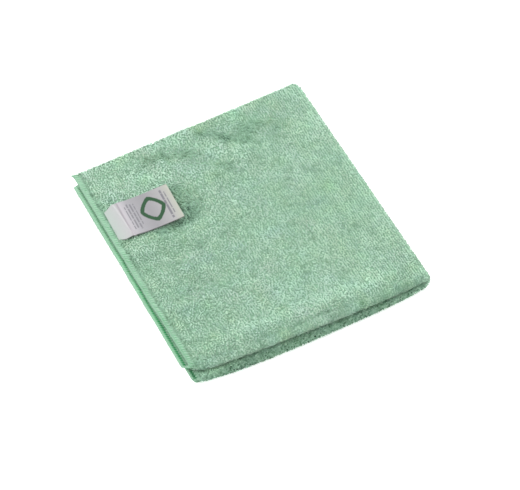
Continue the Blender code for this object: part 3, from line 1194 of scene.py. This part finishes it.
hem_threads = tube_piece("hem_threads", thread_paths, thread_outs, thread_radii, thread_material,
                         hem_values(ways, profiles[..., 0], thread_noise))

# %% [markdown]
# ## Needle thread
#
# The needle thread holds the loopers down along the inner side of the band, as a line of short
# straight stitches on both faces. Each stitch is a low hump with its ends in the cloth.

# %% Sew the needle thread
STITCH_LENGTH = 2.7
STITCH_REACH = np.array([-0.42, 0.0, 0.42])
STITCH_INSET = 4.2
STITCH_PROFILE = np.array([(STITCH_INSET, 0.35), (STITCH_INSET, 0.75), (STITCH_INSET, 0.35)])
STITCH_RADII = np.full((1, 3), 0.2)

stitch_starts = np.arange(0.0, ROUND, STITCH_LENGTH)[:, None]
stitch_ways = np.tile(np.mod(stitch_starts + STITCH_LENGTH * STITCH_REACH, ROUND), (2, 1))
both_profiles = np.stack([STITCH_PROFILE, STITCH_PROFILE * OTHER_FACE])
stitch_profiles = np.repeat(both_profiles, len(stitch_starts), axis=0)
stitch_paths, stitch_outs = wrapped(stitch_ways, stitch_profiles)
hem_stitches = tube_piece("hem_stitches", stitch_paths, stitch_outs, STITCH_RADII, thread_material,
                          hem_values(stitch_ways, STITCH_INSET, 0.0))

# %% [markdown]
# ## Fibres along the outlines
#
# Split microfibre leaves fine ends standing off the loops and the thread. They are far too thin to
# see one by one, but together they soften every outline. Only those along the folds and hems are
# built, at 0.15 mm across instead of 0.01, so that a render can catch them.

# %% Grow fibres
FIBRE_RADII = 0.075 * np.array([[1.0, 0.8, 0.4]])
FIBRE_LENGTH = 1.5
FIBRE_CHANCE = (0.4, 1.2)
FIBRE_WANDER = 0.55
FIBRE_BEND = 0.35
# Turns a fibre's rings off the line across the cloth, which the fibre itself may follow.
OFF_LINE = 0.3


def fibres(u_span, v_span, per_mm2, aim, start, chance):
    """Curved fibres at chance places. aim leans them across (1) or stands them off the face (0)."""
    count = int((u_span[1] - u_span[0]) * (v_span[1] - v_span[0]) * per_mm2)
    u = chance.uniform(*u_span, count)
    v = chance.uniform(*v_span, count)
    place, across, _, out = on_sheet(u, v)
    wander = FIBRE_WANDER * chance.normal(0.0, 1.0, (count, 3))
    ahead = unit(out * (1.0 - abs(aim)) + across * aim + wander)
    bend = FIBRE_BEND * chance.normal(0.0, 1.0, (count, 3))
    reach = FIBRE_LENGTH * chance.uniform(*FIBRE_CHANCE, (count, 1))
    base = place + out * start
    paths = np.stack([base, base + ahead * reach / 2, base + (ahead + bend) * reach], axis=1)
    return paths, unit(np.cross(ahead, across + OFF_LINE))[:, None]


# %% Stand fibres along the outlines
# Each row: span across, span along, fibres to a square mm, aim and starting height.
FIBRE_BANDS = {
    "right_fold_top": ((RUN_ACROSS - 1.0, RUN_ACROSS + 5.0), (3.0, FRONT_END), 1.8, 0.0, 1.1),
    "right_fold_side": ((RUN_ACROSS + 5.0, FOLD_END), (3.0, FRONT_END), 0.5, 0.0, 1.1),
    "front_folds": ((3.0, WIDTH - 3.0), (RUN_ALONG, RUN_ALONG + TURN_ALONG), 0.9, 0.0, 1.1),
    "back_roll": ((2.0, RUN_ACROSS), (4.2, 7.6), 2.2, 0.0, 1.1),
    "left_edge": ((0.0, 0.6), (3.0, LENGTH - 3.0), 4.0, -0.8, 0.3),
}

chance = np.random.default_rng(61)
grown = [fibres(*band, chance) for band in FIBRE_BANDS.values()]
fibre_paths, fibre_outs = [np.concatenate(parts) for parts in zip(*grown)]
loose_fibres = tube_piece("loose_fibres", fibre_paths, fibre_outs, FIBRE_RADII, fibre_material,
                          grounded=True)

# %% [markdown]
# ## The label's shape
#
# The label is a strip of satin ribbon, folded in half and caught in the overlock by its two ends.
# It leaves the stitches narrow, opens to its full width, bends over a crease and lifts off the pile
# toward its free end. Its height along the way is a smooth curve through a few stations, and half
# of the cloth's own relief is added, because a stiff ribbon follows the cloth only in part.

# %% Rise and neck of the label
# Height of the label's middle over the tips of the pile, at places along it from the seam.
LABEL_RISE_AT = np.array([0.0, 4.0, 8.8, 10.3, 12.0, 19.0, 30.0, 42.0, 50.0])
LABEL_RISE = np.array([-0.7, 0.6, 1.8, 1.0, 1.4, 0.9, 1.2, 2.4, 3.4])
RIBBON_FOLLOWS = 0.5
BACK_TUCK = 3.2
BACK_NECK = 9.0
FRONT_TUCK = 2.2
FRONT_NECK = 5.5
CREASE_SLANT = 2.9
PILE_TIPS = 1.4
PILE_TOP_Z = STACK_MIDDLE_Z + OUTER_FOLD_RADIUS + PILE_TIPS
FRONT_OF_CLOTH = -100.0


def label_place(along, across):
    """The label's middle surface over the folded cloth, for mm along it and mm across it."""
    toward_back = across > 0.0
    neck = 1.0 - smooth(along / np.where(toward_back, BACK_NECK, FRONT_NECK))
    tuck = np.where(toward_back, BACK_TUCK, FRONT_TUCK) * (np.abs(across) / (LABEL_WIDTH / 2)) ** 2
    side = across - np.sign(across) * neck * tuck
    x = LABEL_START[0] + along * np.cos(LABEL_TURN) - side * np.sin(LABEL_TURN)
    y = LABEL_START[1] + along * np.sin(LABEL_TURN) + side * np.cos(LABEL_TURN)
    slant = CREASE_SLANT * across / LABEL_WIDTH
    rise = through(LABEL_RISE_AT, LABEL_RISE, along + slant)
    z = PILE_TOP_Z + rise + RIBBON_FOLLOWS * relief_at(x, y, FRONT_OF_CLOTH)
    return np.stack([x, y, z], axis=-1) - BOX_CENTRE


free_end = label_place(np.array([LABEL_LENGTH]), np.array([0.0]))
print("the label's free end is at", free_end[0].round(1).tolist(), "mm")

# %% [markdown]
# ## Two plies of ribbon
#
# Both plies and the bend between them are one sheet: out along the upper ply, round the free end
# and back along the lower one. Its cells are small, because ink is an attribute of the points.

# %% Fold the ribbon
RIBBON_THICKNESS = 0.25
PLY_GAP = 0.5
LABEL_CELL = 0.4
BEND_CELLS = 9

ribbon_run = np.linspace(0.0, LABEL_LENGTH, round(LABEL_LENGTH / LABEL_CELL) + 1)
end_turn = np.linspace(0.0, np.pi, BEND_CELLS)[1:-1]
ply_along = np.concatenate([ribbon_run, LABEL_LENGTH + PLY_GAP / 2 * np.sin(end_turn), ribbon_run[::-1]])
ply_height = PLY_GAP / 2 * np.concatenate([np.ones(len(ribbon_run)), np.cos(end_turn),
                                           -np.ones(len(ribbon_run))])
across_run = np.linspace(-LABEL_WIDTH / 2, LABEL_WIDTH / 2, round(LABEL_WIDTH / LABEL_CELL) + 1)
mesh_along, mesh_across = np.meshgrid(ply_along, across_run, indexing="ij")
mesh_height = np.repeat(ply_height[:, None], len(across_run), axis=1)
ribbon_points = label_place(mesh_along, mesh_across)
ribbon_points[..., 2] += mesh_height
print(f"ribbon of {len(ply_along)} x {len(across_run)} points")

# %% [markdown]
# ## Plain print
#
# The print is generic: a lozenge ring for a mark, and thin bars, broken into short dashes. A
# lozenge with soft corners is the set of places whose two distances, each raised to a power and
# added, come to one. A power of 1 gives straight sides and 2 gives an oval.

# %% Print the ribbon
MARK_CENTRE = (33.0, 0.6)
MARK_HALF = (9.8, 12.0)
MARK_INSIDE = 0.68
MARK_POWER = 1.35
# Each bar: place along the label, half its thickness, and its two ends across the label.
BARS = (
    (14.6, 0.5, -12.0, 10.5),
    (16.9, 0.55, -11.0, 12.5),
    (19.2, 0.55, -12.5, 12.0),
    (21.5, 0.5, -9.0, 11.5),
    (43.4, 0.7, -14.0, 13.5),
    (45.8, 0.45, -10.0, 11.0),
)
# Each wave: radians to a mm across the label, its shift for a mm along it, and its strength.
DASH_WAVES = ((1.2, 2.3, 1.0), (2.9, 1.0, 0.6))
DASH_BREAK = -1.2


def mark_ink(along, across):
    """True on the lozenge ring."""
    reach = (np.abs((along - MARK_CENTRE[0]) / MARK_HALF[0]) ** MARK_POWER
             + np.abs((across - MARK_CENTRE[1]) / MARK_HALF[1]) ** MARK_POWER) ** (1.0 / MARK_POWER)
    return (reach < 1.0) & (reach > MARK_INSIDE)


def bar_ink(along, across):
    """True on the bars, which two sine waves of unlike length break into dashes."""
    ink = np.zeros(along.shape, dtype=bool)
    for middle, half, low, high in BARS:
        dashes = sum(strength * np.sin(turn * across + shift * middle)
                     for turn, shift, strength in DASH_WAVES)
        on_bar = (np.abs(along - middle) < half) & (across > low) & (across < high)
        ink |= on_bar & (dashes > DASH_BREAK)
    return ink


front_face = mesh_height > 0.0
ribbon_values = {
    "along_label": mesh_along.ravel(),
    "green_ink": (mark_ink(mesh_along, mesh_across) & front_face).ravel(),
    "grey_ink": (bar_ink(mesh_along, mesh_across) & front_face).ravel(),
}
ribbon = make_mesh("label_ribbon", ribbon_points.reshape(-1, 3),
                   grid_faces(len(ply_along), len(across_run)), ribbon_material, ribbon_values)
thicken(ribbon, RIBBON_THICKNESS)

# %% [markdown]
# ## Floor
#
# A product shot like this is taken on white paper that is lit on its own, so that it stays white
# right up to the object. A little emission does the same here. The floor lies a hair below the
# cloth, so that the two never share a face.

# %% White floor
FLOOR_SIZE = 6.0
FLOOR_DROP = 0.0002
bpy.ops.mesh.primitive_plane_add(size=FLOOR_SIZE, location=(0.0, 0.0, -FLOOR_DROP))
floor = bpy.context.active_object
floor.name = "floor"
floor_material, floor_shader = new_material("white_paper_floor")
set_values(floor_shader, {
    "Base Color": linear("#f4f4f4"),
    "Roughness": 0.9,
    "Emission Color": linear("#ffffff"),
    "Emission Strength": 0.50,
})
floor.data.materials.append(floor_material)
print("floor down")

# %% [markdown]
# ## Light
#
# Terry only shows its loops when the light comes a little from the side. A white room gives the
# soft base, a large soft box at the left brings out the ridges and the label, and a smaller one at
# the back right keeps the far side from going dull.

# %% Soft studio light


def aim(thing, place, target):
    """Puts a lamp or a camera at a place and turns it to look at the target."""
    thing.location = place
    thing.rotation_euler = (Vector(target) - Vector(place)).to_track_quat("-Z", "Y").to_euler()


def soft_box(name, size, watts, place):
    light = bpy.data.lights.new(name, "AREA")
    light.shape = "SQUARE"
    light.size = size
    light.energy = watts
    aim(put(name, light), place, (0.0, 0.0, 0.0))
    print(f"{name}: {size} m, {watts} W")


world = bpy.data.worlds.new("soft_white_room")
bpy.context.scene.world = world
world.use_nodes = True
set_values(world.node_tree.nodes["Background"], {"Color": (1.0, 1.0, 1.0, 1.0), "Strength": 1.0})
soft_box("left_soft_box", 1.6, 29.5, (-1.5, 0.5, 1.1))
soft_box("back_soft_box", 1.2, 27.0, (1.3, 1.0, 0.8))

# %% [markdown]
# ## Camera
#
# The photo was taken from the front left, about 50 degrees up, with a long lens, which shows in
# how little the far edge shrinks. So the camera stands two metres off with a 200 mm lens. The
# Standard view transform leaves the colours as they were mixed.

# %% Camera at the photo's angle
CAMERA_AZIMUTH = np.radians(26.518)
CAMERA_ELEVATION = np.radians(50.845)
CAMERA_DISTANCE = 2.078
CAMERA_TARGET = (0.003769, -0.011111, 0.0)
CAMERA_LENS = 200.0
CAMERA_SENSOR = 36.0

camera_data = bpy.data.cameras.new("camera")
camera_data.lens = CAMERA_LENS
camera_data.sensor_width = CAMERA_SENSOR
camera = put("camera", camera_data)
toward_camera = np.array([
    -np.sin(CAMERA_AZIMUTH) * np.cos(CAMERA_ELEVATION),
    -np.cos(CAMERA_AZIMUTH) * np.cos(CAMERA_ELEVATION),
    np.sin(CAMERA_ELEVATION),
])
camera_place = np.array(CAMERA_TARGET) + toward_camera * CAMERA_DISTANCE
aim(camera, tuple(camera_place), CAMERA_TARGET)
bpy.context.scene.camera = camera
bpy.context.scene.view_settings.view_transform = "Standard"
print("camera at", camera_place.round(3).tolist())

# %% [markdown]
# ## What stands for what
#
# The ground with all that is sewn or knitted to it stands for the imported cloth, and the ribbon for
# the imported label, so the imported two are hidden. The ribbon was cut at twice the length that
# shows, because it is folded in half.

cloth_pieces = pile + [hem_band, hem_threads, hem_stitches, loose_fibres]
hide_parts("cloth")
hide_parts("label")
for piece in [ground] + cloth_pieces:
    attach(piece, "root")
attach(ribbon, "root")
triangles = sum(len(piece.data.polygons) * 2 for piece in [ground, ribbon] + cloth_pieces)
print("triangles before the two sheets are thickened:", triangles)
